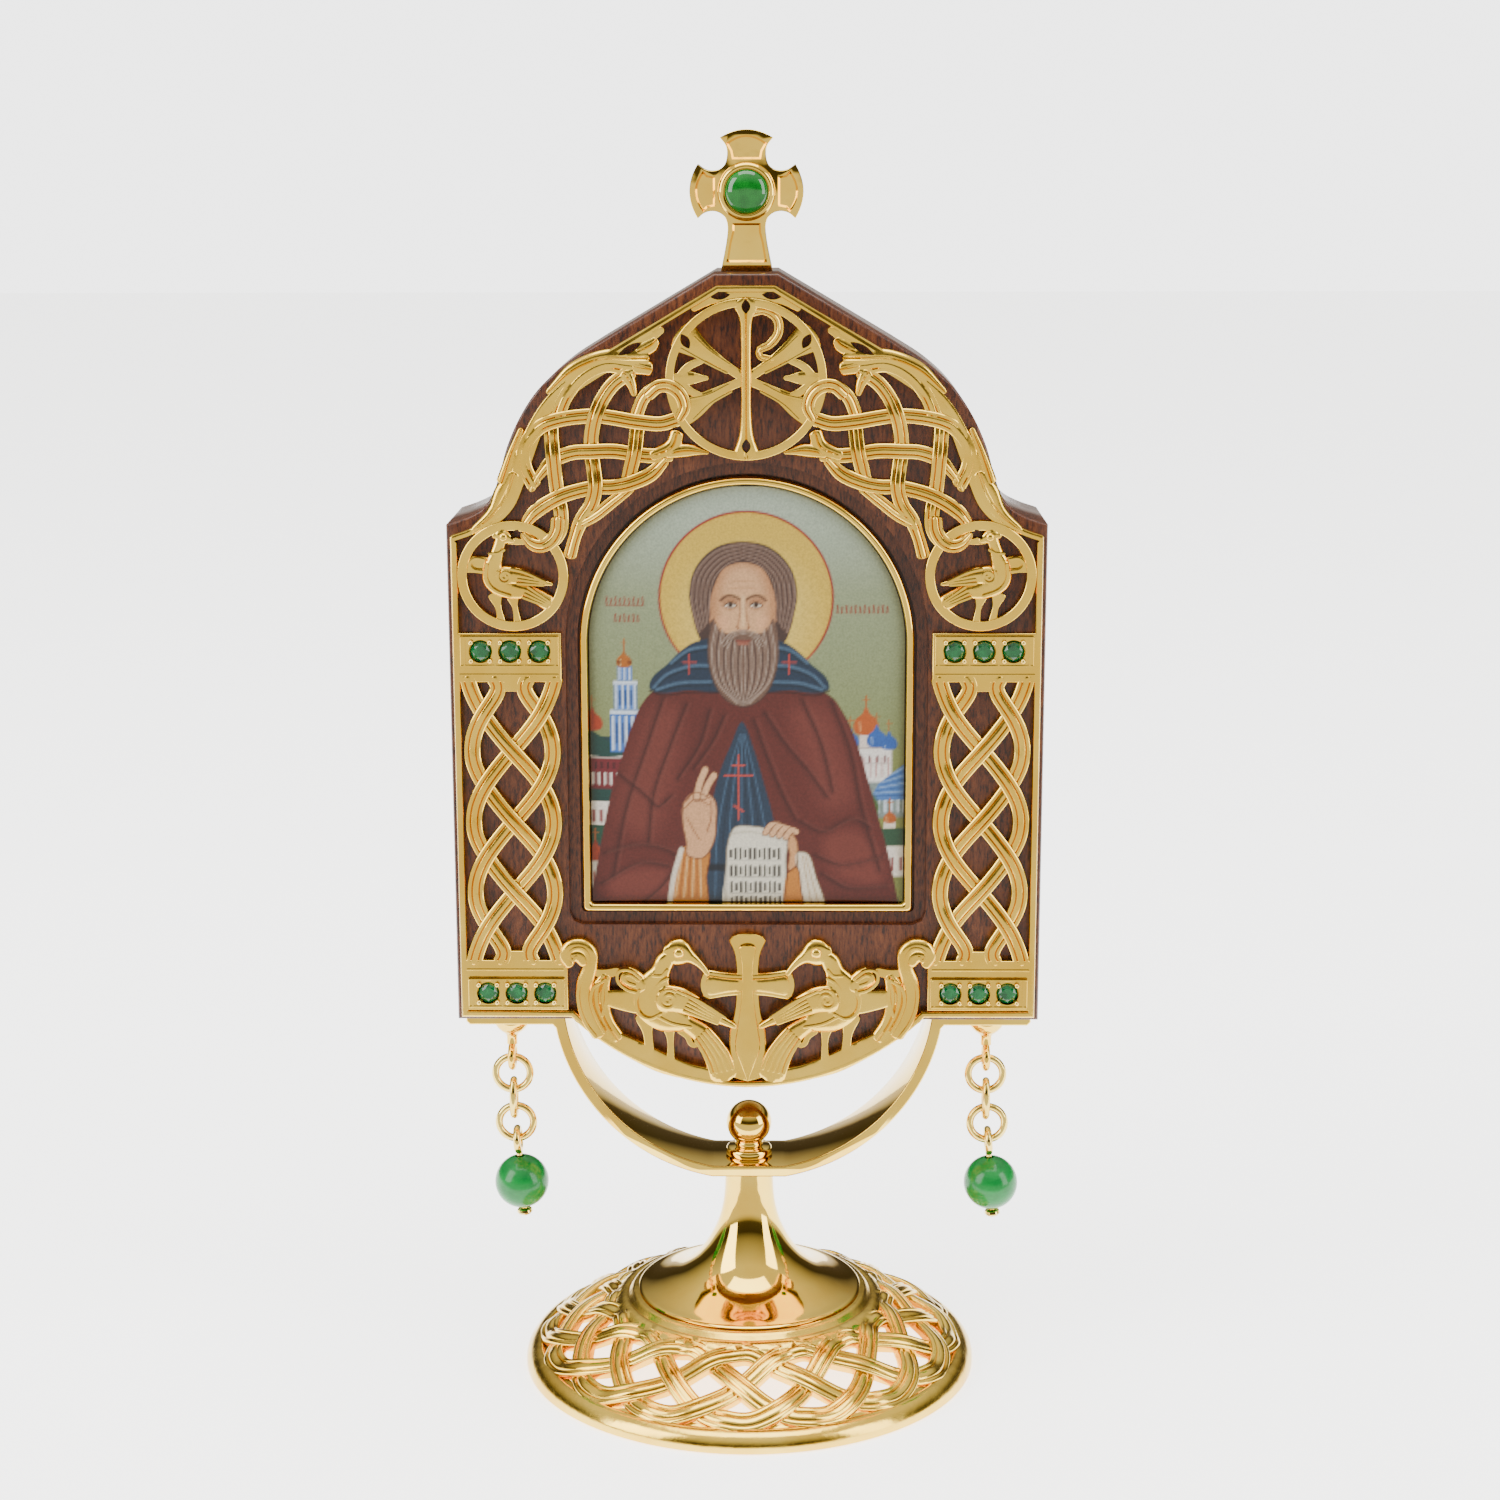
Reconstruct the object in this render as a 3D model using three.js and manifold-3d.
// Table icon on a pedestal: a lacquered wooden board with an arched painted plate, covered by a
// cast openwork plate with green stones, topped by a cross, carried by a bent yoke on a trumpet
// stem and a pierced round foot, with a green bead hanging under each side.
// Millimetres, +Z up, the viewer looks along +Y, origin at the middle of the foot's underside.
import * as THREE from 'three';
import { mergeVertices } from 'three/addons/utils/BufferGeometryUtils.js';
import Module from 'manifold-3d';

const wasm = await Module();
wasm.setup();

// Clearances
const contactGap = 0.05;
const looseGap = 0.3;

// Foot
const footRadius = 33;
const rimHeight = 2.9;
const rimWidth = 2.1;
const domeOuterRadius = 31.3;
const domeInnerRadius = 16.5;
const domeRise = 8;
const domeBulge = 1.2;
const domeThickness = 1.4;
const hubRadius = 17;
const hubRingRadius = 18.9;
const hubHeight = 1.5;
const footPlaitRadius = 25;
const footPlaitSwing = 5;
const footBandWidth = 2.6;
const footPlaitRepeats = 4;
const footPlaitTurn = -2.3;
const footPlaitLift = 0.22;
const ringSink = 0.35;

// Stem
const stemHeight = 18.9;
const stemFootRadius = 16.3;
const stemNeckRadius = 3.5;
const stemLipHeight = 0.3;
const stemFlare = 2.6;

// Yoke and its screw
const yokeRadius = 28;
const yokeThickness = 1.6;
const yokeDepth = 11;
const yokeHeight = 25.1;
const yokeSeatHalfWidth = 5.3;
const yokeSeatDepth = 0.5;
const flangeReach = 40.3;
const flangeThickness = 2.2;
const flangeStart = 27.4;
const flangeCorner = 0.5;
const washerRadius = 3.35;
const washerThickness = 1.3;
const collarRadius = 1.95;
const collarHeight = 0.7;
const ballRadius = 3.28;

// Board
const boardHalfWidth = 40.91;
const boardThickness = 19.52;
const boardHeight = 103.85;
const shoulderHeight = 70.2;
const topHalfWidth = 4.3;
const bellyHalfWidth = 24.7;
const bellyDepth = 10.05;

// Picture: a step in the wood, a gilt frame and a domed plate
const frameHalfWidth = 23;
const frameBottom = 15.8;
const frameHeight = 61;
const frameWidth = 1.15;
const frameDepth = 2.6;
const frameStandProud = 0.5;
const stepMargin = 1.9;
const stepDepth = 1;
const pictureThickness = 1.4;
const pictureDome = 0.7;

// Openwork plate
const plateThickness = 1.15;
const plateSideMargin = 0.65;
const plateTopMargin = 1.45;
const plateBellyMargin = 0.35;
const borderWidth = 0.95;
const bandWidth = 2.1;
const crossingRise = 0.3;
const lowFieldThickness = 0.7;
const birdRise = 0.25;
const wingRise = 0.5;
const stoneStripRise = 0.45;
const roundelRadius = 6.9;
const wheelRadius = 10.25;
const columnSwing = 5.55;
const columnBandWidth = 2.35;

// Stones
const stoneRadius = 1.5;
const stonePitch = 4;
const stoneHeight = 1.3;

// Cross on top
const crossDepth = 5;
const crossArm = 7.7;
const crossUp = 8.2;
const crossDown = 10.6;
const crossArmWidth = 7.15;
const crossWaist = 5.2;
const crossRim = 0.7;
const crossPanelDepth = 0.45;
const crossEndSag = 1.1;
const crossFootRim = 1.2;
const bezelRadius = 3.4;
const bezelHeight = 0.9;
const bezelFoot = 0.5;
const cabochonRadius = 2.95;
const cabochonHeight = 2.1;
const stoneSink = 0.35;

// Pendants
const studRadius = 2.5;
const studHeight = 3.1;
const studNeckHeight = 1.4;
const studNeckRadius = 0.75;
const eyeSink = 0.35;
const pendantInset = 5.95;
const wireRadius = 0.6;
const eyeRadius = 1.6;
const ringRadius = 2.5;
const ringPlay = 0.2;
const linkHalfHeight = 2.65;
const linkHalfWidth = 1.35;
const beadRadius = 3.93;
const beadBoreRadius = 0.7;
const pinRadius = 0.45;
const capRadius = 1.15;
const capHeight = 1;
const pinLean = 4;

// Levels that follow from the sizes above
const domeTop = rimHeight + domeRise;
const stemFoot = domeTop + hubHeight - domeThickness + contactGap;
const yokeFoot = stemFoot + stemHeight + contactGap;
const seatTop = yokeFoot + yokeThickness;
const yokeTop = yokeFoot + yokeHeight;
const boardBottom = yokeTop + contactGap;
const boardTop = boardBottom + boardHeight;
const boardFront = -boardThickness / 2;
const pendantX = flangeReach - pendantInset;

const gilt = { color: 0xd9b566, metalness: 1, roughness: 0.28 };
const lacqueredWood = { color: 0x4a2d20, metalness: 0, roughness: 0.35 };
const greenStone = { color: 0x0f7a45, metalness: 0, roughness: 0.1 };
const greenBead = { color: 0x1c7a49, metalness: 0, roughness: 0.25 };
const paint = { color: 0x8f9a80, metalness: 0, roughness: 0.3 };

const icon = new THREE.Group();

function add(name, geometry, look, x = 0, y = 0, z = 0) {
  const mesh = new THREE.Mesh(geometry, new THREE.MeshStandardMaterial(look));
  mesh.name = name;
  mesh.position.set(x, y, z);
  icon.add(mesh);
  return mesh;
}

// Solids: a closed geometry becomes a manifold to be joined or cut, and comes back as a geometry
function solid(geometry) {
  const bare = new THREE.BufferGeometry();
  bare.setAttribute('position', geometry.getAttribute('position'));
  if (geometry.index) bare.setIndex(geometry.index);
  const merged = mergeVertices(bare, 1e-4);
  return new wasm.Manifold(new wasm.Mesh({
    numProp: 3,
    vertProperties: new Float32Array(merged.attributes.position.array),
    triVerts: new Uint32Array(merged.index.array),
  }));
}

function geometryOf(manifold) {
  const mesh = manifold.getMesh();
  const geometry = new THREE.BufferGeometry();
  geometry.setAttribute('position', new THREE.BufferAttribute(mesh.vertProperties, 3));
  geometry.setIndex(new THREE.BufferAttribute(mesh.triVerts, 1));
  return geometry;
}

function join(geometries) {
  let layer = geometries.map(solid);
  while (layer.length > 1) {
    const next = [];
    for (let i = 0; i < layer.length; i += 2) {
      const pair = i + 1 < layer.length ? layer[i].add(layer[i + 1]) : layer[i];
      next.push(solid(geometryOf(pair)));
    }
    layer = next;
  }
  return layer[0];
}

// A loft joins sections of equal point count. Looking back along the path, the points run
// left top, right top, right bottom, left bottom.
function loft(sections, closed = false) {
  const size = sections[0].length;
  const position = sections.flat().flatMap((p) => [p.x, p.y, p.z]);
  const index = [];
  const spans = closed ? sections.length : sections.length - 1;
  for (let i = 0; i < spans; i += 1) {
    const here = i * size;
    const next = ((i + 1) % sections.length) * size;
    for (let j = 0; j < size; j += 1) {
      const k = (j + 1) % size;
      index.push(here + j, here + k, next + k, here + j, next + k, next + j);
    }
  }
  if (!closed) {
    const last = (sections.length - 1) * size;
    for (let j = 1; j < size - 1; j += 1) {
      index.push(0, j + 1, j, last, last + j, last + j + 1);
    }
  }
  const geometry = new THREE.BufferGeometry();
  geometry.setAttribute('position', new THREE.Float32BufferAttribute(position, 3));
  geometry.setIndex(index);
  return geometry;
}

function lathe(points, sides = 24) {
  const profile = points.map(([r, z]) => new THREE.Vector2(r, z));
  return new THREE.LatheGeometry(profile, sides).rotateX(Math.PI / 2);
}

// Extrudes an outline drawn in X and Z from y = back towards the viewer by depth
function slab(outline, depth, back, holes = []) {
  const shape = new THREE.Shape(outline);
  holes.forEach((hole) => shape.holes.push(new THREE.Path(hole)));
  const geometry = new THREE.ExtrudeGeometry(shape, { depth, bevelEnabled: false });
  return geometry.rotateX(Math.PI / 2).translate(0, back, 0);
}

const point = (x, z) => new THREE.Vector2(x, z);
const mirrored = (half) => half.concat(half.slice().reverse()
  .filter((p) => Math.abs(p.x) > 1e-6).map((p) => point(-p.x, p.y)));

// Foot: a plain rim, a hub ring and four bands that weave over the dome between them
function domeHeight(radius) {
  const t = THREE.MathUtils.clamp(
    (radius - domeInnerRadius) / (domeOuterRadius - domeInnerRadius), 0, 1);
  return rimHeight + domeRise * (1 - t ** domeBulge);
}

function domeSlope(radius) {
  const step = 0.05;
  return (domeHeight(radius + step) - domeHeight(radius - step)) / (2 * step);
}

// Four strands of one plait: the swing across at phase u, and how far each stands over the rest
const plaitSwing = (u) => Math.cos(u);
const plaitLift = (u) => Math.cos(4 * u) * THREE.MathUtils.clamp(3 * Math.sin(u), -1, 1);

function domePoint(angle, radius, lift) {
  const slope = domeSlope(radius);
  const length = Math.hypot(1, slope);
  const out = radius - (slope / length) * lift;
  const up = domeHeight(radius) + lift / length;
  return new THREE.Vector3(out * Math.cos(angle), out * Math.sin(angle), up);
}

function footStrand(strand) {
  const steps = footPlaitRepeats * 8;
  const turn = THREE.MathUtils.degToRad(footPlaitTurn);
  const centre = [];
  for (let i = 0; i < steps; i += 1) {
    const around = (i / steps) * 2 * Math.PI;
    const u = around * footPlaitRepeats + (strand * Math.PI) / 2;
    centre.push({
      angle: around + turn,
      radius: footPlaitRadius + footPlaitSwing * plaitSwing(u),
      slope: -footPlaitSwing * footPlaitRepeats * Math.sin(u),
      lift: -footPlaitLift * plaitLift(u),
    });
  }
  return loft(centre.map(({ angle, radius, slope, lift }) => {
    const length = Math.hypot(radius, slope);
    const acrossRadius = ((footBandWidth / 2) * radius) / length;
    const acrossAngle = ((footBandWidth / 2) * slope) / length / radius;
    const side = (s, depth) => domePoint(
      angle + s * acrossAngle, radius - s * acrossRadius, lift - depth);
    return [side(1, 0), side(-1, 0), side(-1, domeThickness), side(1, domeThickness)];
  }), true);
}

function foot() {
  const rim = lathe([
    [footRadius - rimWidth, 0], [footRadius, 0], [footRadius - 0.1, 1.1],
    [footRadius - 0.7, 2.4], [domeOuterRadius - 0.2, rimHeight],
    [footRadius - rimWidth - 1.1, domeHeight(footRadius - rimWidth - 1.1) - ringSink],
    [footRadius - rimWidth - 1.1, rimHeight - 0.6], [footRadius - rimWidth, rimHeight - 1.2],
    [footRadius - rimWidth, 0]], 32);
  const hubTop = stemFoot - contactGap;
  const hub = lathe([
    [0, hubTop - hubHeight], [hubRadius, hubTop - hubHeight],
    [hubRingRadius + 1.2, domeHeight(hubRingRadius + 1.2) - domeThickness + 0.2],
    [hubRingRadius + 1.2, domeHeight(hubRingRadius + 1.2) - ringSink],
    [hubRadius + 0.2, hubTop - 0.35], [hubRadius - 0.1, hubTop], [0, hubTop]], 32);
  const strands = [0, 1, 2, 3].map(footStrand);
  return geometryOf(join([rim, hub, ...strands]));
}

add('pierced_foot', foot(), gilt);

// Stem: a trumpet that flares down to the foot's hub
function stem() {
  const steps = 8;
  const profile = [[0, 0], [stemFootRadius, 0], [stemFootRadius, stemLipHeight]];
  for (let i = 0; i <= steps; i += 1) {
    const t = i / steps;
    const z = stemLipHeight + (stemHeight - stemLipHeight) * t ** 1.25;
    const r = stemNeckRadius + (stemFootRadius - stemNeckRadius - 0.15)
      * (1 - t) ** 1.2 * Math.exp(-stemFlare * (z / stemHeight));
    profile.push([r, z]);
  }
  profile.push([0, stemHeight]);
  return lathe(profile, 24);
}

add('trumpet_stem', stem(), gilt, 0, 0, stemFoot);

// Yoke: a strip bent to a circle with a flat seat below and a flange out to each side
function yoke() {
  const centre = yokeFoot + yokeRadius - yokeSeatDepth;
  const inner = yokeRadius - yokeThickness;
  const flangeBottom = yokeTop - flangeThickness;
  const arc = (radius, fromX, toZ) => {
    const start = Math.atan2(-Math.sqrt(radius ** 2 - fromX ** 2), fromX);
    const end = Math.asin(THREE.MathUtils.clamp((toZ - centre) / radius, -1, 1));
    return Array.from({ length: 13 }, (_, i) => {
      const angle = start + ((end - start) * i) / 12;
      return point(radius * Math.cos(angle), centre + radius * Math.sin(angle));
    });
  };
  const corner = flangeCorner;
  const outside = arc(yokeRadius, yokeSeatHalfWidth, flangeBottom - corner)
    .filter((p) => p.y > yokeFoot + 0.02);
  const inside = arc(inner, yokeSeatHalfWidth, yokeTop - corner)
    .filter((p) => p.y > seatTop + 0.02);
  const right = [
    point(0, yokeFoot), point(yokeSeatHalfWidth, yokeFoot), ...outside,
    point(flangeStart + 1.1, flangeBottom),
    point(flangeReach - corner, flangeBottom), point(flangeReach, flangeBottom + corner),
    point(flangeReach, yokeTop - corner), point(flangeReach - corner, yokeTop),
    point(flangeStart - 0.6, yokeTop), ...inside.reverse(),
    point(yokeSeatHalfWidth - 0.4, seatTop), point(0, seatTop)];
  const left = right.slice(1, -1).reverse().map((p) => point(-p.x, p.y));
  return slab(right.concat(left), yokeDepth, yokeDepth / 2);
}

add('yoke_strip', yoke(), gilt);

const washerFoot = seatTop + contactGap;
add('washer', lathe([
  [0, 0], [washerRadius, 0], [washerRadius, washerThickness * 0.75],
  [washerRadius - 0.3, washerThickness], [0, washerThickness]], 24), gilt, 0, 0, washerFoot);

function finial() {
  const rise = collarHeight + ballRadius * 0.82;
  const profile = [[0, 0], [collarRadius, 0], [collarRadius, collarHeight]];
  const steps = 9;
  const start = Math.acos(0.82);
  for (let i = 1; i <= steps; i += 1) {
    const angle = start + ((Math.PI - start) * i) / steps;
    profile.push([Math.max(ballRadius * Math.sin(angle), 0), rise - ballRadius * Math.cos(angle)]);
  }
  profile[profile.length - 1][0] = 0;
  return lathe(profile, 20);
}

add('ball_screw', finial(), gilt, 0, 0, washerFoot + washerThickness + contactGap);

// Board outline. The drawing of the top curve and of the ornament follows the real board's width
// and height. This is the ogee from the shoulder to the top facet, left side, as drawn.
const ogee = [
  [-40.91, 125.47], [-38.2, 126.4], [-36, 127.6], [-34.5, 129.5], [-33.4, 132.6],
  [-32.4, 136], [-30.6, 140], [-28.1, 143.7], [-24.6, 146.9], [-20, 149.85], [-4.3, 159.11]];
const drawnFoot = [0, 55.26];
const drawnHalfWidth = -ogee[0][0];
const drawnHeight = ogee[ogee.length - 1][1] - drawnFoot[1];
const acrossScale = boardHalfWidth / drawnHalfWidth;
const upScale = boardHeight / drawnHeight;
const bandScale = Math.max(acrossScale, upScale);
const placeX = (x) => x * acrossScale;
const placeZ = (z) => boardBottom + (z - drawnFoot[1]) * upScale;

function curveThrough(points, perSpan) {
  const curve = new THREE.CatmullRomCurve3(
    points.map(([x, z]) => new THREE.Vector3(x, z, 0)), false, 'centripetal');
  const last = points.length - 1;
  const found = [];
  for (let i = 0; i <= last * perSpan; i += 1) found.push(curve.getPoint(i / (last * perSpan)));
  return found;
}

function ogeeLine(margin) {
  const bend = curveThrough(ogee.slice(0, -1), 2)
    .map((p) => point(placeX(p.x), placeZ(p.y)));
  bend[0].y = boardBottom + shoulderHeight;
  const facet = point(-topHalfWidth, boardTop);
  bend.push(facet);
  return bend.map((p, i) => {
    const before = bend[Math.max(i - 1, 0)];
    const after = bend[Math.min(i + 1, bend.length - 1)];
    const along = after.clone().sub(before).normalize();
    const inward = point(along.y, -along.x);
    return p.clone().addScaledVector(inward, margin);
  });
}

// The board's outline drawn in by a margin at the sides, along the top and round the belly
function boardOutline(side = 0, top = 0, belly = 0, bottom = side) {
  const radius = (bellyHalfWidth ** 2 + bellyDepth ** 2) / (2 * bellyDepth);
  const centre = boardBottom - bellyDepth + radius;
  const inner = radius - belly;
  const floor = boardBottom + bottom;
  const reach = Math.sqrt(inner ** 2 - (centre - floor) ** 2);
  const spread = Math.asin(reach / inner);
  const half = [];
  for (let i = 0; i <= 11; i += 1) {
    const angle = (spread * i) / 11;
    half.push(point(-inner * Math.sin(angle), centre - inner * Math.cos(angle)));
  }
  const shoulder = ogeeLine(top);
  shoulder[0] = point(-boardHalfWidth + side, boardBottom + shoulderHeight - top);
  shoulder[shoulder.length - 1] = point(-topHalfWidth + top * 0.27, boardTop - top);
  half.push(point(-boardHalfWidth + side, floor), ...shoulder);
  return mirrored(half);
}

// An arch: straight sides and a round top
function archOutline(halfWidth, bottom, top, corner, arcSteps = 14) {
  const spring = top - halfWidth;
  const half = [point(0, bottom), point(halfWidth - corner, bottom),
    point(halfWidth - corner * 0.3, bottom + corner * 0.3), point(halfWidth, bottom + corner)];
  for (let i = 0; i <= arcSteps; i += 1) {
    const angle = (Math.PI / 2) * (i / arcSteps);
    const x = i === arcSteps ? 0 : halfWidth * Math.cos(angle);
    half.push(point(x, spring + halfWidth * Math.sin(angle)));
  }
  return half.concat(half.slice(1, -1).reverse().map((p) => point(-p.x, p.y)));
}

const frameFoot = boardBottom + frameBottom;
const frameTop = frameFoot + frameHeight;
const pocketHalfWidth = frameHalfWidth + looseGap;
const pocketOutline = archOutline(
  pocketHalfWidth, frameFoot - looseGap, frameTop + looseGap, 0.6);
const stepOutline = archOutline(
  frameHalfWidth + stepMargin, frameFoot - stepMargin, frameTop + stepMargin, 1.8);
const frameBack = boardFront + frameDepth - frameStandProud;

function board() {
  const cutDepth = frameBack + contactGap - boardFront;
  const body = solid(slab(boardOutline(), boardThickness, boardThickness / 2));
  const step = solid(slab(stepOutline, stepDepth + 1, boardFront + stepDepth));
  const pocket = solid(slab(pocketOutline, cutDepth + 1, boardFront + cutDepth));
  return geometryOf(body.subtract(step).subtract(pocket));
}

add('wood_board', board(), lacqueredWood);

// Picture frame: a half-round moulding with a flat back, run round the arch
const pictureLip = 0.15;
const frameInner = frameHalfWidth - frameWidth;

function frame() {
  const front = boardFront - frameStandProud;
  const profile = [
    [0, frameBack], [0, front + 0.75], [frameWidth * 0.3, front + 0.12], [frameWidth * 0.65, front],
    [frameWidth, front + 0.55], [frameWidth, frameBack]];
  const rings = profile.map(([inset, y]) => archOutline(
    frameHalfWidth - inset, frameFoot + inset, frameTop - inset, 0.5)
    .map((p) => new THREE.Vector3(p.x, y, p.y)));
  const sections = rings[0].map((_, i) => rings.map((ring) => ring[i]).reverse());
  return loft(sections, true);
}

add('picture_frame', frame(), gilt);

// Painted plate: a thin arch whose face swells a little towards its middle
function picture() {
  const half = frameInner - pictureLip;
  const bottom = frameFoot + frameWidth + pictureLip;
  const top = frameTop - frameWidth - pictureLip;
  const edge = archOutline(half, bottom, top, 0.4, 12);
  const back = frameBack;
  const middle = point(0, (bottom + top) / 2);
  const steps = 4;
  const ring = (t, y) => edge.map((p) => {
    const q = p.clone().lerp(middle, t);
    return new THREE.Vector3(q.x, y, q.y);
  });
  const rings = [ring(0, back), ring(0, back - pictureThickness)];
  for (let i = 1; i < steps; i += 1) {
    const t = i / steps;
    rings.push(ring(t * t * 0.5 + t * 0.5, back - pictureThickness - pictureDome * Math.sin(t * 1.5)));
  }
  const count = edge.length;
  const position = rings.flat();
  position.push(new THREE.Vector3(middle.x, back - pictureThickness - pictureDome, middle.y));
  position.push(new THREE.Vector3(middle.x, back, middle.y));
  const index = [];
  for (let r = 0; r < rings.length - 1; r += 1) {
    for (let i = 0; i < count; i += 1) {
      const j = (i + 1) % count;
      const a = r * count + i;
      const b = r * count + j;
      index.push(a, b, b + count, a, b + count, a + count);
    }
  }
  const lastRing = (rings.length - 1) * count;
  const apex = position.length - 2;
  const nadir = position.length - 1;
  for (let i = 0; i < count; i += 1) {
    const j = (i + 1) % count;
    index.push(lastRing + i, lastRing + j, apex, j, i, nadir);
  }
  const geometry = new THREE.BufferGeometry().setFromPoints(position);
  geometry.setIndex(index);
  return geometry;
}

add('painted_plate', picture(), paint);

// Openwork plate. Every band, leaf and bird limb is a stroke: a centre line with a width.
// Points are [x, z] or [x, z, width] on the left half as drawn; the right half mirrors them.
// A point listed in over lies where the stroke crosses on top of another and stands higher.
const plateBack = boardFront - contactGap;
const turnPerSection = Math.sin(THREE.MathUtils.degToRad(30));
const strapInset = 0.03;

// Samples a centre line finely, then keeps a section only where the line has turned enough
function strokeSections(points, width) {
  const line = new THREE.CatmullRomCurve3(
    points.map((p) => new THREE.Vector3(p[0], p[1], 0)), false, 'centripetal');
  const spans = points.length - 1;
  const fine = 6;
  const sections = [];
  let turned = 0;
  let before = null;
  for (let i = 0; i <= spans * fine; i += 1) {
    const t = i / (spans * fine);
    const k = Math.min(Math.floor(t * spans), spans - 1);
    const local = t * spans - k;
    const from = points[k][2] ?? width;
    const to = points[k + 1][2] ?? width;
    const at = line.getPoint(t);
    const along = line.getTangent(t);
    const heading = Math.atan2(along.y, along.x);
    if (before !== null) turned += Math.abs(Math.sin(heading - before));
    before = heading;
    const swells = i % fine === 0 && Math.abs(from - width) > 0.6 && points[k].length > 2;
    const ends = i === 0 || i === spans * fine;
    if (!ends && !swells && turned < turnPerSection) continue;
    turned = 0;
    sections.push({ x: at.x, z: at.y, dx: along.x, dz: along.y, w: from + (to - from) * local });
  }
  return sections;
}

function ribbon(sections, side, thickness, closed = false, base = 0) {
  return loft(sections.map((s) => {
    const half = (s.w * bandScale) / 2;
    const x = placeX(s.x * side);
    const z = placeZ(s.z);
    const nx = -s.dz * half;
    const nz = s.dx * half * side;
    const corner = (sign, h) => new THREE.Vector3(
      x + sign * nx, plateBack - h, z + sign * nz);
    return [corner(1, thickness), corner(-1, thickness), corner(-1, base), corner(1, base)];
  }), closed);
}

// A strap raises only the crossing, from half a span before the point to half a span after it
function strap(points, width, index) {
  const near = [-0.5, 0, 0.5].map((reach) => {
    const from = points[index];
    const to = points[index + Math.sign(reach)];
    const share = Math.abs(reach);
    return [from[0] + (to[0] - from[0]) * share, from[1] + (to[1] - from[1]) * share];
  });
  return near.map(([x, z], i) => {
    const behind = near[Math.max(i - 1, 0)];
    const ahead = near[Math.min(i + 1, 2)];
    const length = Math.hypot(ahead[0] - behind[0], ahead[1] - behind[1]);
    return {
      x, z, dx: (ahead[0] - behind[0]) / length, dz: (ahead[1] - behind[1]) / length,
      w: width - 2 * strapInset,
    };
  });
}

function strokeSolids(stroke, side) {
  const { points, width = bandWidth, rise = 0, over = [] } = stroke;
  const solids = [ribbon(strokeSections(points, width), side, plateThickness + rise)];
  over.forEach((index) => {
    solids.push(ribbon(strap(points, width, index), side, plateThickness + crossingRise,
      false, plateThickness * 0.5));
  });
  return solids;
}

// Woven panel over the roundel: two uprights, three rising bands and the rib of the upper leaf
const weave = [
  { points: [[-28.7, 131], [-29.9, 133.5], [-29.9, 136.1], [-28.2, 138.5], [-26.2, 139.6],
    [-20.5, 140.35], [-14.8, 139.6], [-11.5, 139.3], [-9.3, 139.9]], over: [4, 6] },
  { points: [[-29, 130.6, 1], [-28, 132.3, 1.3], [-26, 134.4], [-23.5, 135.4], [-20.8, 135.6],
    [-17.5, 135.6], [-15.1, 135.2], [-12.5, 135], [-10.2, 135.2]], over: [4] },
  { points: [[-29.9, 125.9, 1.6], [-28.6, 127.4], [-25.4, 129.4], [-23, 130.2], [-20.4, 130.7],
    [-17.9, 130.8], [-15.7, 131.3], [-12.9, 132.5], [-11, 134.4, 1.6]], over: [2, 6] },
  { points: [[-26.3, 139.2], [-26.2, 137], [-26, 134.6], [-25.8, 132], [-25.5, 129.6],
    [-25.1, 127.2], [-25.2, 125.1], [-26.3, 123.5], [-28, 123], [-29.6, 124.1]], over: [2] },
  { points: [[-15.4, 146.3], [-17.8, 144.6], [-19.4, 142.4], [-20.3, 140.2], [-20.8, 137.9],
    [-20.9, 135.6], [-20.6, 133.2], [-20.4, 130.8], [-21, 128.4], [-22.4, 126.2],
    [-23.3, 123.9, 1.8], [-24, 121.4, 1.9]], over: [3, 7] },
  { points: [[-14.6, 139.4], [-14.8, 137.4], [-15.1, 135.2], [-15.6, 133.2], [-16, 131.4]],
    over: [2] },
  { points: [[-22.8, 125.6, 1.5], [-20.5, 126.9, 1.7], [-18.2, 128.7, 1.7], [-15.6, 130.7, 1.5]] },
  { points: [[-25.4, 140.2], [-24.2, 143], [-21.9, 145.7], [-18.8, 147.2, 2.3], [-15.6, 146.9, 2.6]] },
  { points: [[-14.7, 140.6, 1.9], [-13.8, 142.7, 1.9], [-12.2, 144.1, 1.9], [-10.4, 144.4, 1.9],
    [-8.9, 143.3, 1.9], [-8.2, 141.4, 1.9]] },
];

const leaves = [
  { points: [[-33, 131.5, 1.6], [-31.6, 135.5, 1.2], [-30.4, 138.3, 0.9]] },
  { points: [[-36.8, 125, 1.2], [-34.2, 127.2, 2.2], [-32.5, 129.8, 3.4], [-31.4, 132.5, 2]] },
  { points: [[-26.4, 143.7, 0.9], [-23.3, 146.4, 2], [-19.4, 148, 2.2], [-15.9, 148, 2.9],
    [-13.6, 148, 3.4]] },
  { points: [[-14.3, 149, 2], [-12.7, 149.8, 2.2], [-12.1, 150.4, 1.5]] },
  { points: [[-14.6, 147, 2.4], [-12.9, 146.6, 2]] },
  { points: [[-16.2, 146, 2.2], [-15.4, 144.6, 1.5], [-15.1, 143.5, 1]] },
  { points: [[-12.6, 135, 1.8], [-10, 136.2, 2.2], [-9.3, 138, 2]] },
  { points: [[-10.6, 135.3, 1.6], [-7.9, 135.7, 1.9], [-5.3, 135.4, 0.5]] },
  { points: [[-6.9, 154.6, 0.8], [-4, 156.1, 1.7], [0, 156.4, 2.2]],
    rise: lowFieldThickness - plateThickness },
];

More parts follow.
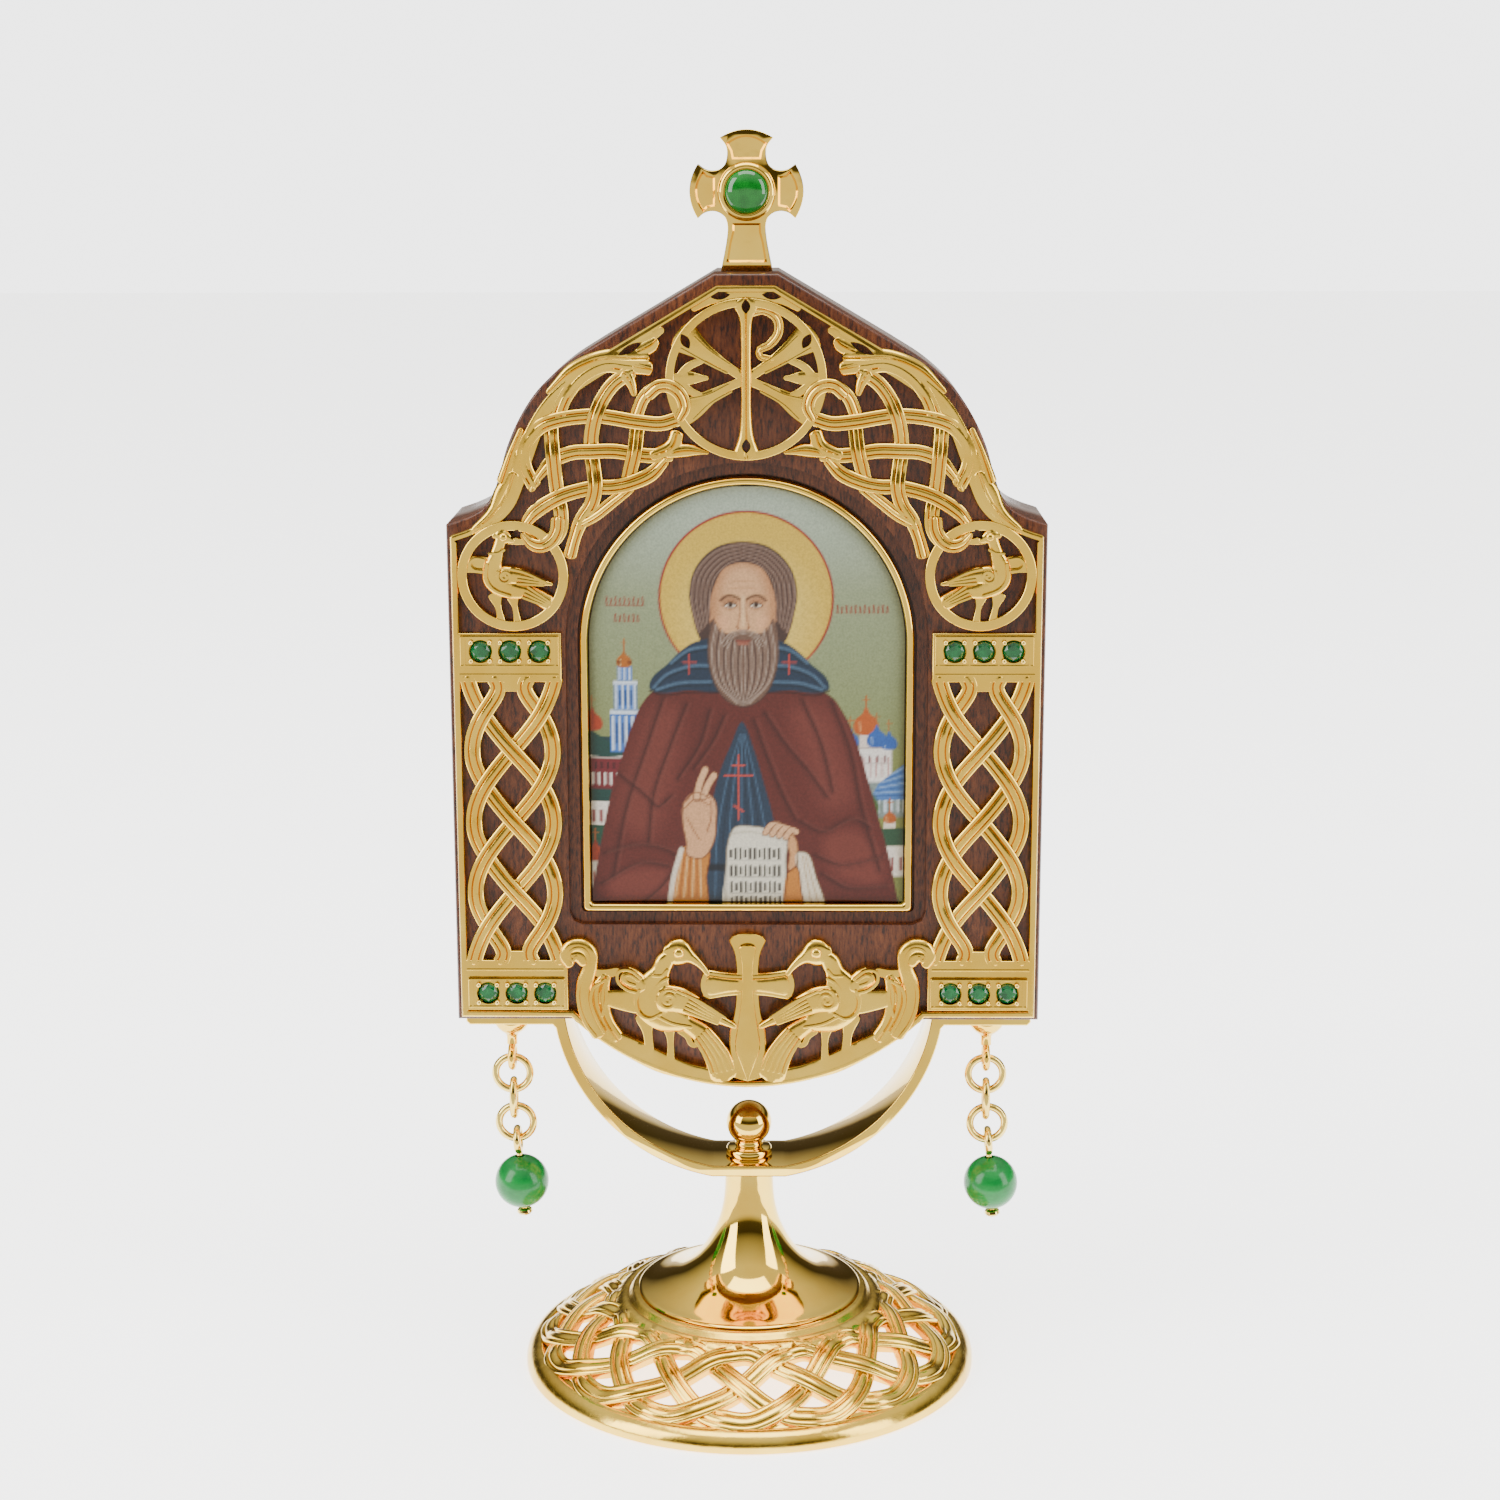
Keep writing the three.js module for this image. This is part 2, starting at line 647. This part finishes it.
// Wheel: a ring, a flared upright, flared diagonals, a bud in each side opening
const wheelCentre = [0, 145.2];
const spokes = [
  { points: [[-0.01, 155.3, 3.8], [-0.01, 153.4, 2], [-0.01, 150, 1.45], [-0.01, 145.2, 1.5]] },
  { points: [[-0.01, 145.2, 1.5], [-0.01, 141, 1.45], [-0.01, 137.6, 2.1], [-0.01, 135.2, 3.6]] },
  { points: [[0, 145.2, 1.3], [-3, 147.2, 1.5], [-5.3, 148.7, 2.3], [-7.4, 150.1, 3.7],
    [-8.5, 150.9, 4.6]] },
  { points: [[0, 145.2, 1.3], [-2.6, 144.1, 1.3], [-4.8, 142.9, 2], [-7, 141.5, 3.2],
    [-8.3, 140.9, 3.8]] },
  { points: [[-9.8, 145.4, 1.2], [-7.7, 145.4, 1.9], [-5.3, 145.4, 0.6]] },
  { points: [[-9.2, 145.4, 1], [-7.6, 147, 1.1], [-6, 147.7, 0.9]] },
  { points: [[-9.2, 145.4, 1], [-7.5, 143.7, 1.1], [-5.8, 142.9, 0.9]] },
];
const crook = { points: [[0.4, 154, 1.2], [2.4, 154.3, 1.1], [4.1, 153.3, 1.3], [4.3, 151.4, 1.3],
  [3.1, 149.8, 1.2], [1.8, 149.1, 1], [1.9, 148.3, 1], [3.3, 147.9, 0.9]] };

// Roundel bird, looking towards the middle
const smallBird = [
  { points: [[-30.3, 123.6, 0.9], [-32.7, 123.9, 1.7], [-33.7, 122.5, 1.9], [-34.3, 120.8, 2.6],
    [-33.9, 118.4, 4.1], [-31.8, 117, 3.4], [-29.6, 116.4, 2.6]], rise: birdRise },
  { points: [[-33.6, 119.1, 2.6], [-31.5, 118.8, 2.3], [-29, 118.2, 1.5], [-26.6, 117.7, 0.5]],
    rise: wingRise },
  { points: [[-30.4, 116.7, 2.2], [-28.5, 115.7, 2.3], [-26.5, 114.7, 2.2]], rise: birdRise },
  { points: [[-34.2, 116.2, 1.5], [-33.8, 114.6, 1], [-33.5, 112.8, 1.1]] },
  { points: [[-31.6, 116, 1.1], [-31.4, 114.6, 0.9], [-31.1, 112.7, 1.1]] },
  { points: [[-35.7, 121, 0.9], [-37.2, 121, 1], [-37.9, 120.2, 1], [-37.3, 119.4, 1],
    [-35.7, 119.3, 0.9]] },
];

// Lower panel: scroll, leaf, bird and half of the middle cross
const lowerPanel = [
  { points: [[-25.6, 65, 1.6], [-24, 65.3, 2.2], [-22.8, 65.4, 4.4], [-21.6, 63.6, 2.9],
    [-21.9, 61.2, 2.3], [-22, 58.6, 2.2], [-21.1, 55.8, 2.2], [-19.8, 53.2, 2.4]], rise: birdRise },
  { points: [[-19.6, 61.9, 2.2], [-20.2, 59.4, 2.6], [-20.2, 57.2, 2], [-19.6, 55, 2],
    [-18.2, 52.9, 2.2]] },
  { points: [[-20.6, 63, 0.9], [-18.6, 63, 0.8], [-17, 63.5, 0.9]] },
  { points: [[-19.8, 59.9, 1.8], [-17.4, 59.7, 2.4], [-15, 59.4, 2.6]] },
  { points: [[-14.4, 61.9, 1.4], [-15.3, 63.3, 1.6], [-16.6, 63.4, 1.7], [-17.1, 62.2, 1.5],
    [-16.4, 61, 1.5]], rise: birdRise },
  { points: [[-6.6, 65, 1.4], [-8.9, 66, 2.9], [-10.6, 64.9, 2.6], [-12, 62.8, 3],
    [-12.8, 60, 4.4], [-11.6, 57.6, 4.4], [-9.2, 56.8, 3]], rise: birdRise },
  { points: [[-12.6, 59.4, 3.2], [-9.6, 58.7, 3], [-6.6, 57.2, 2.2], [-3.8, 56.3, 1.3],
    [-1.6, 55.9, 0.8]], rise: wingRise },
  { points: [[-9.4, 56.5, 2], [-6.7, 54.6, 2], [-4.4, 52.2, 2.8], [-3.2, 49.4, 3.6],
    [-2.8, 46.9, 4.2]], rise: birdRise },
  { points: [[-14.3, 57, 1.4], [-13.6, 54.4, 1.1], [-13.4, 51.4, 1.2]] },
  { points: [[-10.5, 56, 1.4], [-10.35, 53.4, 0.9], [-10.4, 50.4, 1.2]] },
  { points: [[-24, 55.6, 0.8], [-21.5, 54.05, 1.8], [-18.8, 52.6, 2.6], [-15.6, 50.9, 3], [-12, 49.3, 3],
    [-8.4, 48.5, 2.4], [-4.4, 48, 2]] },
  { points: [[-6.4, 64.6, 0.9], [-5.4, 64.2, 0.7], [-3.6, 63.2, 1.2]] },
  { points: [[-0.01, 67.2, 4.9], [-0.01, 65.4, 3.6], [-0.01, 63.2, 3.1], [-0.01, 60.4, 3],
    [-0.01, 57, 3.3], [-0.01, 53.6, 4.6], [-0.01, 50, 5], [-0.01, 46.4, 5]], rise: birdRise },
  { points: [[-0.4, 61.75, 3.2], [-3.4, 61.7, 3.7], [-4.9, 61.6, 4.3]], rise: birdRise },
];

// Small three-sided piercings: [x, z, radius, turn in degrees]
const piercings = [
  [-8.1, 150.3, 0.6, 100], [-3.3, 156.2, 0.55, 0], [0, 155, 0.6, -90], [0, 136.1, 0.6, 90],
  [-28.8, 129.1, 0.55, 20], [-31.4, 124.4, 0.5, 45]];

// Column plait between the two stone strips
const columnCentre = -32.35;
const columnTop = 104.4;
const columnBottom = 64;
const columnPhaseZero = 94.3;
const columnPeriod = 40.4;
const columnEndGap = 2.25;
const columnEndLength = 5;
const columnStrapMargin = 3.5;
const columnStrapReach = 1.7;
const columnPhase = (z, strand) => ((z - columnPhaseZero) / columnPeriod) * 2 * Math.PI
  + (strand * Math.PI) / 2;

// Towards its ends the plait closes: a strand keeps to its own side of the middle line
function columnOffset(z, strand) {
  const u = columnPhase(z, strand);
  const free = columnSwing * plaitSwing(u);
  const end = 1 - Math.min(columnTop - z, z - columnBottom) / columnEndLength;
  if (end <= 0) return free;
  const inward = z > (columnTop + columnBottom) / 2 ? -0.03 : 0.03;
  const ownSide = Math.sign(plaitSwing(u + inward));
  return ownSide * Math.hypot(free, columnEndGap * end ** 1.5);
}

function columnStrand(strand) {
  const steps = 14;
  const levels = Array.from({ length: steps + 1 },
    (_, i) => columnBottom + ((columnTop - columnBottom) * i) / steps);
  const centre = levels.map((z) => ({ x: columnCentre + columnOffset(z, strand), z }));
  return centre.map(({ x, z }, i) => {
    const before = centre[Math.max(i - 1, 0)];
    const after = centre[Math.min(i + 1, steps)];
    const length = Math.hypot(after.x - before.x, after.z - before.z);
    return {
      x, z, dx: (after.x - before.x) / length, dz: (after.z - before.z) / length,
      w: columnBandWidth,
    };
  });
}

// Levels at which a strand passes on top of another
function columnOverLevels(strand) {
  const levels = [];
  for (let k = -16; k < 16; k += 1) {
    const u = (k * Math.PI) / 4;
    const z = columnPhaseZero + ((u - (strand * Math.PI) / 2) / (2 * Math.PI)) * columnPeriod;
    const inside = Math.min(columnTop - z, z - columnBottom) > columnStrapMargin;
    if (inside && plaitLift(u) > 0.9) levels.push(z);
  }
  return levels;
}

function columnStrap(strand, z) {
  return [-1, 0, 1].map((share) => {
    const level = z + share * columnStrapReach;
    const u = columnPhase(level, strand);
    const slope = (-columnSwing * Math.sin(u) * 2 * Math.PI) / columnPeriod;
    const length = Math.hypot(slope, 1);
    return {
      x: columnCentre + columnSwing * plaitSwing(u), z: level,
      dx: slope / length, dz: 1 / length, w: columnBandWidth - 2 * strapInset,
    };
  });
}

function column(side) {
  return [0, 1, 2, 3].flatMap((strand) => [
    ribbon(columnStrand(strand), side, plateThickness),
    ...columnOverLevels(strand).map((z) => ribbon(columnStrap(strand, z), side,
      plateThickness + crossingRise, false, plateThickness * 0.5)),
  ]);
}

// Stone strips: a raised bar with three drilled seats
const stoneRows = { upper: 108.3, lower: 59.6 };
const stoneX = (i) => -36.4 + i * stonePitch;

function straight(x0, z0, x1, z1, w) {
  const length = Math.hypot(x1 - x0, z1 - z0);
  const d = { dx: (x1 - x0) / length, dz: (z1 - z0) / length, w };
  return [{ x: x0, z: z0, ...d }, { x: x1, z: z1, ...d }];
}

function stoneStrips(side) {
  const plain = plateThickness;
  return [
    ribbon(straight(-40, 107.35, -25.4, 107.35, 6.8), side, plain),
    ribbon(straight(-40, 60.6, -25.2, 60.6, 7.3), side, plain),
    ribbon(straight(-39.2, stoneRows.upper, -25.7, stoneRows.upper, 4.2), side,
      plain + stoneStripRise),
    ribbon(straight(-39.2, stoneRows.lower, -25.6, stoneRows.lower, 4.2), side,
      plain + stoneStripRise),
    ribbon(straight(columnCentre, 104.6, columnCentre, 102.6, 2), side, plain),
    ribbon(straight(columnCentre, 65.6, columnCentre, 63.8, 2), side, plain),
  ];
}

function circleSections([cx, cz], radius, width, count) {
  return Array.from({ length: count }, (_, i) => {
    const a = (i / count) * 2 * Math.PI;
    return {
      x: cx + radius * Math.cos(a), z: cz + radius * Math.sin(a),
      dx: -Math.sin(a), dz: Math.cos(a), w: width,
    };
  });
}

function drill(x, z, radius, sides, turn, from, to) {
  const cutter = new THREE.CylinderGeometry(radius, radius, to - from, sides, 1);
  cutter.rotateY(THREE.MathUtils.degToRad(turn));
  return cutter.translate(placeX(x), plateBack - (from + to) / 2, placeZ(z));
}

function openwork() {
  const margins = [plateSideMargin, plateTopMargin, plateBellyMargin];
  const inner = margins.map((m) => m + borderWidth);
  const border = slab(boardOutline(...margins), plateThickness, plateBack,
    [boardOutline(...inner).reverse()]);
  const solids = [border];
  const strokes = [...weave, ...leaves, ...spokes, ...smallBird, ...lowerPanel];
  [1, -1].forEach((side) => {
    strokes.forEach((stroke) => solids.push(...strokeSolids(stroke, side)));
    solids.push(...column(side), ...stoneStrips(side));
    solids.push(ribbon(circleSections([-31.8, 118.65], roundelRadius, 1.35, 18), side,
      plateThickness + birdRise, true));
  });
  solids.push(ribbon(circleSections(wheelCentre, wheelRadius, 1.15, 24), 1,
    plateThickness + birdRise, true));
  solids.push(...strokeSolids(crook, 1));
  const cuts = [];
  [1, -1].forEach((side) => {
    piercings.forEach(([x, z, radius, turn]) => cuts.push(
      drill(x * side, z, radius, 3, turn * side, -1, 3)));
    Object.values(stoneRows).forEach((z) => {
      for (let i = 0; i < 3; i += 1) {
        cuts.push(drill(stoneX(i) * side, z, stoneRadius + 0.12, 10, 18, 0.3, 3));
      }
    });
  });
  const window = slab(archOutline(frameHalfWidth + stepMargin, frameFoot - stepMargin,
    frameTop + stepMargin, 1.8), 8, boardFront + 2);
  return geometryOf(join(solids).subtract(join(cuts)).subtract(solid(window)));
}

add('openwork_plate', openwork(), gilt);

// Stones: a brilliant's outline in few facets, each seated in its drilled hole
function stone() {
  const girdle = stoneHeight * 0.62;
  return lathe([
    [0, 0], [stoneRadius * 0.35, 0], [stoneRadius, girdle * 0.92], [stoneRadius, girdle],
    [stoneRadius * 0.6, stoneHeight], [0, stoneHeight]], 8).rotateX(Math.PI / 2);
}

const sides = { left: 1, right: -1 };
Object.entries(stoneRows).forEach(([row, z]) => {
  Object.entries(sides).forEach(([name, side]) => {
    for (let i = 0; i < 3; i += 1) {
      add(`stone_${row}_${name}_${i + 1}`, stone(), greenStone,
        placeX(stoneX(i) * side), plateBack - stoneSink - contactGap, placeZ(z));
    }
  });
});

// Cross: four flared arms between round notches, sunk panels and a bezel for the cabochon
function crossOutline() {
  const waist = crossWaist / 2;
  const tip = crossArmWidth / 2;
  const end = (reach) => [-1, -0.5, 0, 0.5, 1].map((s) => [tip * s, reach - crossEndSag * s * s]);
  const right = end(crossArm).map(([s, r]) => point(r, s));
  const top = end(crossUp).map(([s, r]) => point(-s, r)).filter((p) => p.x >= 0);
  const lowerNotch = [
    [waist + 0.35, -0.75 * crossDown], [waist + 0.1, -0.58 * crossDown],
    [waist - 0.05, -0.42 * crossDown], [waist + 0.3, -0.31 * crossDown],
    [0.48 * crossArm, -waist - 0.1], [0.62 * crossArm, -waist]];
  const upperNotch = [
    [0.61 * crossArm, waist + 0.1], [0.47 * crossArm, waist + 0.2],
    [waist + 0.5, 0.4 * crossUp], [waist, 0.6 * crossUp]];
  const draw = (points) => points.map(([x, z]) => point(x, z));
  return mirrored([point(0, -crossDown), point(tip - 0.1, -crossDown), ...draw(lowerNotch),
    ...right, ...draw(upperNotch), ...top]);
}

// Sunk panels of the cross's front, one per arm
function crossPanels() {
  const inner = bezelRadius + bezelFoot + 0.35;
  const waist = crossWaist / 2 - crossRim;
  const tip = crossArmWidth / 2 - 1.25 * crossRim;
  const arm = (reach, angle) => {
    const outer = reach - crossRim;
    const end = [-1, -0.5, 0, 0.5, 1].map((s) => [outer - crossEndSag * s * s, tip * s]);
    return [[inner, -waist], ...end, [inner, waist]].map(([r, s]) => point(
      r * Math.cos(angle) - s * Math.sin(angle), r * Math.sin(angle) + s * Math.cos(angle)));
  };
  const foot = crossDown - crossFootRim;
  const narrow = 0.62 * crossDown;
  const shaft = [[-tip, -foot], [tip, -foot], [waist, -narrow], [waist, -inner],
    [-waist, -inner], [-waist, -narrow]].map(([x, z]) => point(x, z));
  return [arm(crossArm, 0), arm(crossUp, Math.PI / 2), arm(crossArm, Math.PI), shaft];
}

const crossMiddle = boardTop + contactGap + crossDown;

function cross() {
  let body = solid(slab(crossOutline(), crossDepth, crossDepth / 2));
  crossPanels().forEach((panel) => {
    body = body.subtract(solid(slab(panel, 2, -crossDepth / 2 + crossPanelDepth)));
  });
  const bezel = solid(lathe([
    [0, 0], [bezelRadius + bezelFoot, 0], [bezelRadius + bezelFoot * 0.7, bezelHeight * 0.6],
    [bezelRadius, bezelHeight], [0, bezelHeight]], 24)
    .rotateX(Math.PI / 2).translate(0, -crossDepth / 2 + 0.2, 0));
  const seat = solid(lathe([
    [0, 0], [cabochonRadius + 0.1, 0], [cabochonRadius + 0.1, 4], [0, 4]], 24)
    .rotateX(Math.PI / 2).translate(0, -crossDepth / 2 + 0.3, 0));
  return geometryOf(body.add(bezel).subtract(seat));
}

add('top_cross', cross(), gilt, 0, 0, crossMiddle);

function cabochon() {
  const steps = 6;
  const profile = [[0, 0]];
  for (let i = 0; i <= steps; i += 1) {
    const a = (Math.PI / 2) * (i / steps);
    const r = i === steps ? 0 : cabochonRadius * Math.cos(a) ** 0.85;
    profile.push([r, cabochonHeight * (0.35 + 0.65 * Math.sin(a))]);
  }
  profile.splice(1, 0, [cabochonRadius, 0]);
  return lathe(profile, 20).rotateX(Math.PI / 2);
}

add('cabochon', cabochon(), greenStone, 0, -crossDepth / 2 + 0.3 - contactGap, crossMiddle);

// Pendants: a stud with an eye, a ring, a link, a ring, and a bead on a headed pin
const flangeUnderside = yokeTop - flangeThickness;
const eyeCentre = flangeUnderside - studHeight - studNeckHeight + eyeSink - eyeRadius - wireRadius;
const hang = 2 * wireRadius + ringPlay;
const upperRingZ = eyeCentre - eyeRadius + hang - ringRadius;
const linkZ = upperRingZ - ringRadius + hang - linkHalfHeight;
const lowerRingZ = linkZ - linkHalfHeight + hang - ringRadius;
const pinEyeZ = lowerRingZ - ringRadius + hang - eyeRadius;
const beadDrop = eyeRadius + wireRadius + looseGap + beadRadius;

// A wire bent to a closed oval in the Y and Z plane
function ovalLink(halfWidth, halfHeight) {
  const count = 14;
  return loft(Array.from({ length: count }, (_, i) => {
    const a = (i / count) * 2 * Math.PI;
    const y = halfWidth * Math.cos(a);
    const z = halfHeight * Math.sin(a);
    const dy = -halfWidth * Math.sin(a);
    const dz = halfHeight * Math.cos(a);
    const length = Math.hypot(dy, dz);
    const ny = dz / length;
    const nz = -dy / length;
    return Array.from({ length: 6 }, (_unused, j) => {
      const b = (j / 6) * 2 * Math.PI;
      const out = Math.cos(b) * wireRadius;
      return new THREE.Vector3(-Math.sin(b) * wireRadius, y + ny * out, z + nz * out);
    });
  }), true);
}

const faceRing = () => new THREE.TorusGeometry(ringRadius, wireRadius, 6, 16).rotateX(Math.PI / 2);
const edgeRing = () => new THREE.TorusGeometry(eyeRadius, wireRadius, 6, 12).rotateY(Math.PI / 2);

function studWithEye() {
  const stud = lathe([
    [0, -studHeight - studNeckHeight], [studNeckRadius, -studHeight - studNeckHeight],
    [studNeckRadius + 0.05, -studHeight + 0.1],
    [studRadius - 0.5, -studHeight * 0.55], [studRadius, -studHeight * 0.45], [studRadius, 0],
    [0, 0]], 14);
  const eye = edgeRing().translate(0, 0, eyeCentre - flangeUnderside);
  return geometryOf(join([stud, eye]));
}

// The pin's eye is at the origin; the shank runs down through the bead to a cap below it
function beadPin() {
  const shankEnd = -beadDrop - beadRadius - looseGap - capHeight;
  const shank = lathe([
    [0, shankEnd], [capRadius * 0.7, shankEnd], [capRadius, shankEnd + capHeight * 0.5],
    [capRadius * 0.8, shankEnd + capHeight], [pinRadius, shankEnd + capHeight],
    [pinRadius, -eyeRadius], [0, -eyeRadius]], 10);
  return geometryOf(join([shank, edgeRing()]));
}

function bead() {
  const start = Math.asin(beadBoreRadius / beadRadius);
  const steps = 8;
  const profile = [];
  for (let i = 0; i <= steps; i += 1) {
    const a = start + ((Math.PI - 2 * start) * i) / steps;
    profile.push([beadRadius * Math.sin(a), -beadRadius * Math.cos(a)]);
  }
  profile.push([profile[0][0], profile[0][1]]);
  return lathe(profile, 14);
}

Object.entries(sides).forEach(([name, side]) => {
  const x = -pendantX * side;
  add(`${name}_stud`, studWithEye(), gilt, x, 0, flangeUnderside - contactGap);
  add(`${name}_upper_ring`, faceRing(), gilt, x, 0, upperRingZ);
  add(`${name}_link`, ovalLink(linkHalfWidth, linkHalfHeight), gilt, x + 0.1, 0, linkZ);
  add(`${name}_lower_ring`, faceRing(), gilt, x + 0.35, 0, lowerRingZ);
  const drop = new THREE.Group();
  drop.position.set(x + 0.55, 0, pinEyeZ);
  drop.rotation.y = THREE.MathUtils.degToRad(-pinLean);
  drop.add(add(`${name}_bead_pin`, beadPin(), gilt));
  drop.add(add(`${name}_bead`, bead(), greenBead, 0, 0, -beadDrop));
  icon.add(drop);
});

export default icon;
